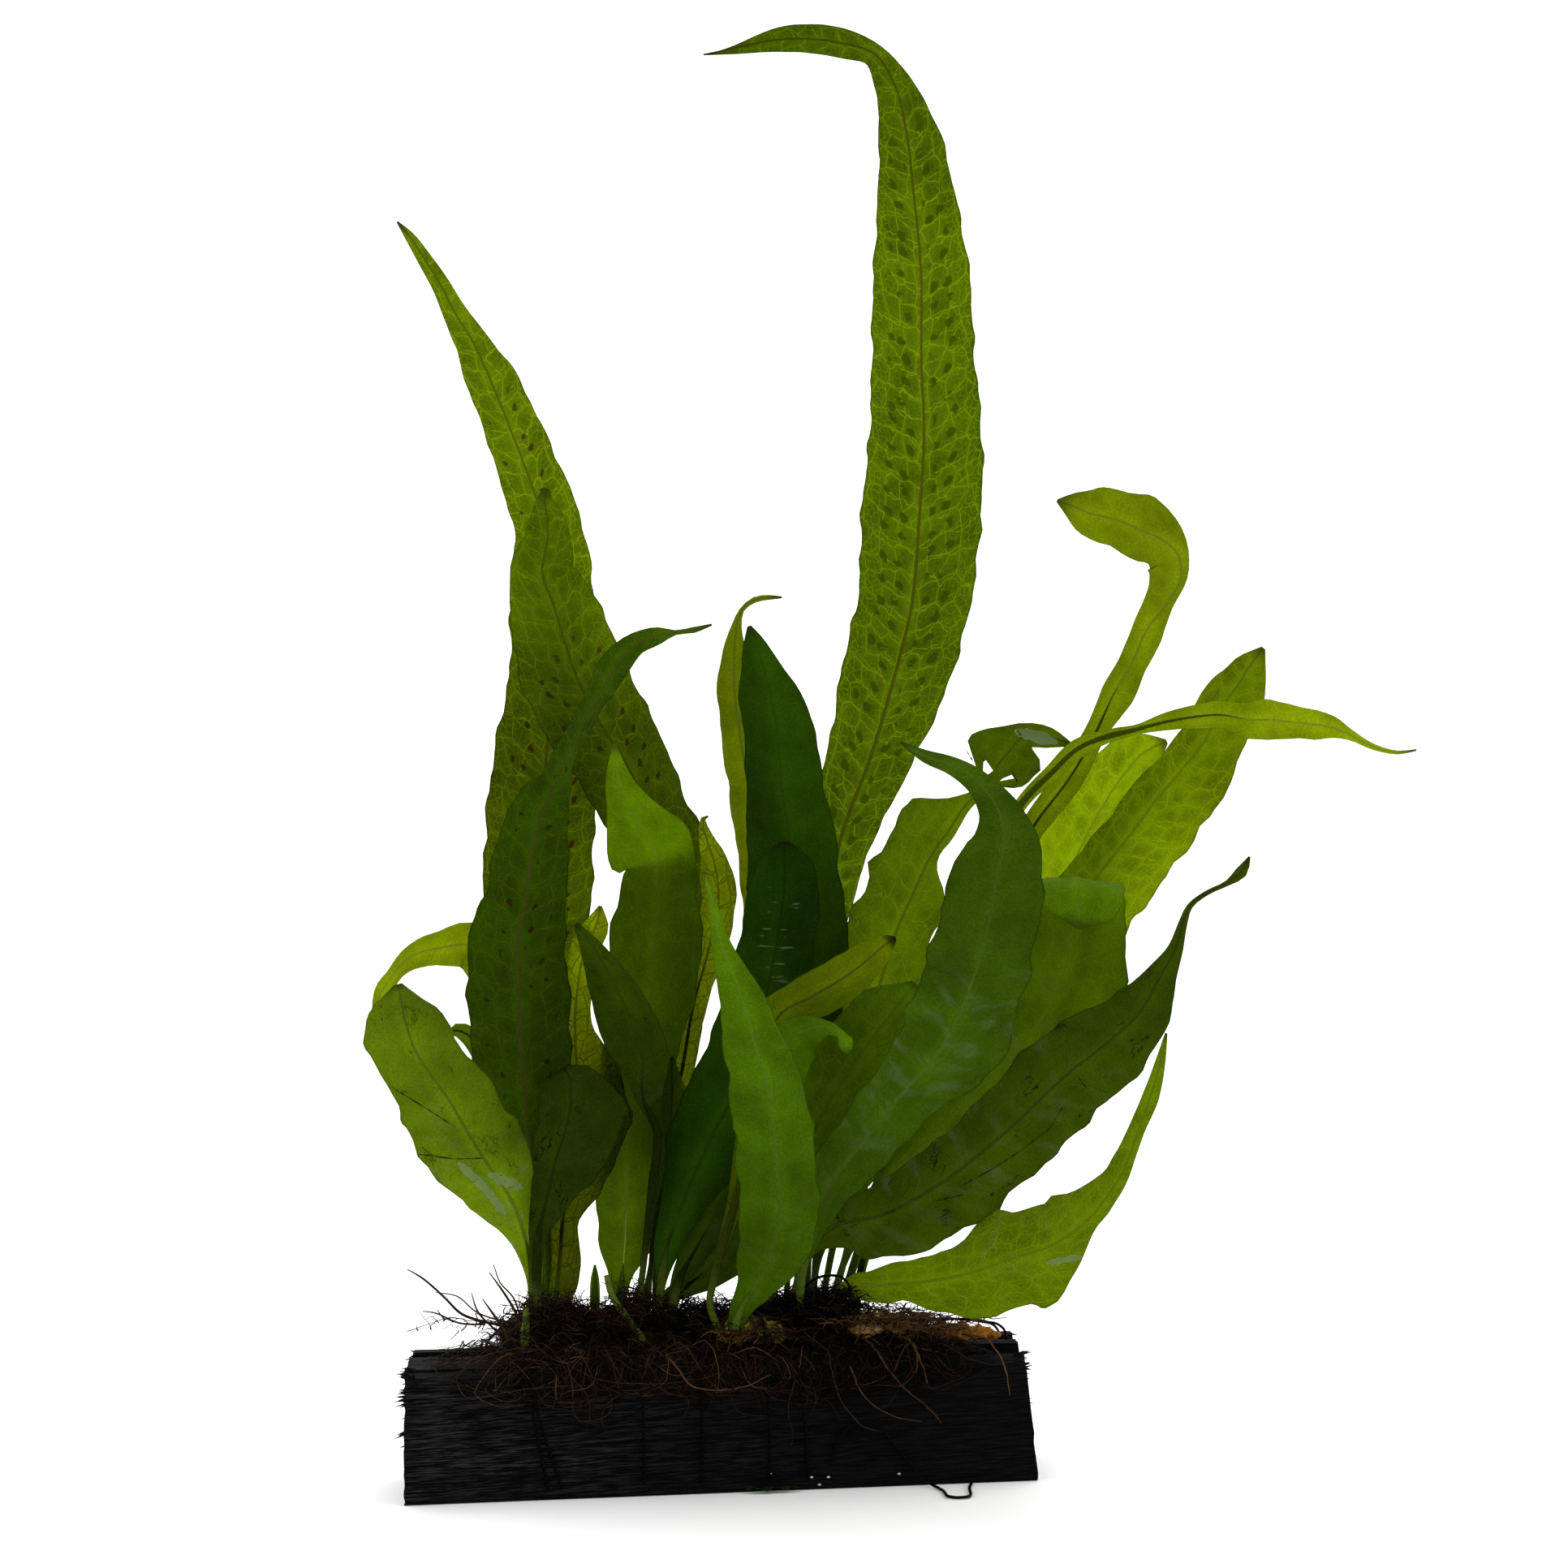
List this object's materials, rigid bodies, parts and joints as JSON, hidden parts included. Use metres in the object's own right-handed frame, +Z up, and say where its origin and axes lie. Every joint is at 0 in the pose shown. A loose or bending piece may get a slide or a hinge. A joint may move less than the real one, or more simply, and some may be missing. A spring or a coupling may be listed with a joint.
{
  "type": "java fern on driftwood",
  "caption": "Aquarium fern with long leathery fronds rising from a creeping rhizome that dark threads tie on top of a sawn block of near-black driftwood.",
  "frame": {"origin": "on the wood block's flat underside, midway between its long faces and level with the middle of its front face", "axes": "+Z up, +X along the block's length, -Y towards the block's front face"},
  "size_m": [0.2059, 0.1145, 0.291],
  "materials": {
    "leaf_bright": "satin",
    "leaf_mid": "satin",
    "leaf_dark": "satin",
    "leaf_yellow": "satin",
    "leaf_brown": "satin",
    "stalk_green": "satin",
    "wood_black": "matte",
    "rhizome_green": "matte",
    "rhizome_ochre": "matte",
    "root_brown": "matte",
    "thread_black": "matte"
  },
  "bodies": {
    "root": {"frond_tall": "leaf_bright", "frond_left_tall": "leaf_bright", "frond_left_broad": "leaf_bright", "frond_sliver": "leaf_bright", "frond_bright_right": "leaf_bright", "frond_broad_right": "leaf_bright", "frond_bottom_right": "leaf_bright", "frond_left_front": "leaf_mid", "frond_light_tip": "leaf_mid", "frond_arching_left": "leaf_mid", "frond_center_left": "leaf_mid", "frond_front_center": "leaf_mid", "frond_knob": "leaf_mid", "frond_torn": "leaf_mid", "frond_hooked": "leaf_mid", "frond_long_right": "leaf_mid", "frond_front_right": "leaf_mid", "frond_folded_right": "leaf_mid", "frond_pointed_left": "leaf_dark", "frond_left_low": "leaf_dark", "frond_left_short": "leaf_dark", "frond_small_center": "leaf_dark", "frond_low_center_front": "leaf_dark", "frond_low_center_back": "leaf_dark", "frond_brown_tip": "leaf_dark", "frond_dark_center": "leaf_dark", "frond_dark_right": "leaf_dark", "frond_low_behind": "leaf_dark", "leaf_scrap": "leaf_dark", "frond_yellow_left": "leaf_yellow", "frond_yellow_center": "leaf_yellow", "frond_withered_left": "leaf_brown", "frond_low_right": "leaf_brown", "frond_curl_right": "leaf_brown", "young_shoot": "stalk_green", "stub_left": "stalk_green", "cut_stalk_center": "stalk_green", "wood_block": "wood_black", "rhizome_main": "rhizome_green", "rhizome_front": "rhizome_ochre", "rhizome_right": "rhizome_ochre", "rhizome_tip": "rhizome_ochre", "root_mat_front": "root_brown", "root_mat_back": "root_brown", "root_loose_high": "root_brown", "root_loose_middle": "root_brown", "root_loose_low": "root_brown", "tie_left": "thread_black", "tie_left_second": "thread_black", "tie_center_left": "thread_black", "tie_center": "thread_black", "tie_center_right": "thread_black", "tie_right": "thread_black", "tie_loop": "thread_black", "tie_end": "thread_black", "tie_tail": "thread_black"}
  },
  "joints": []
}
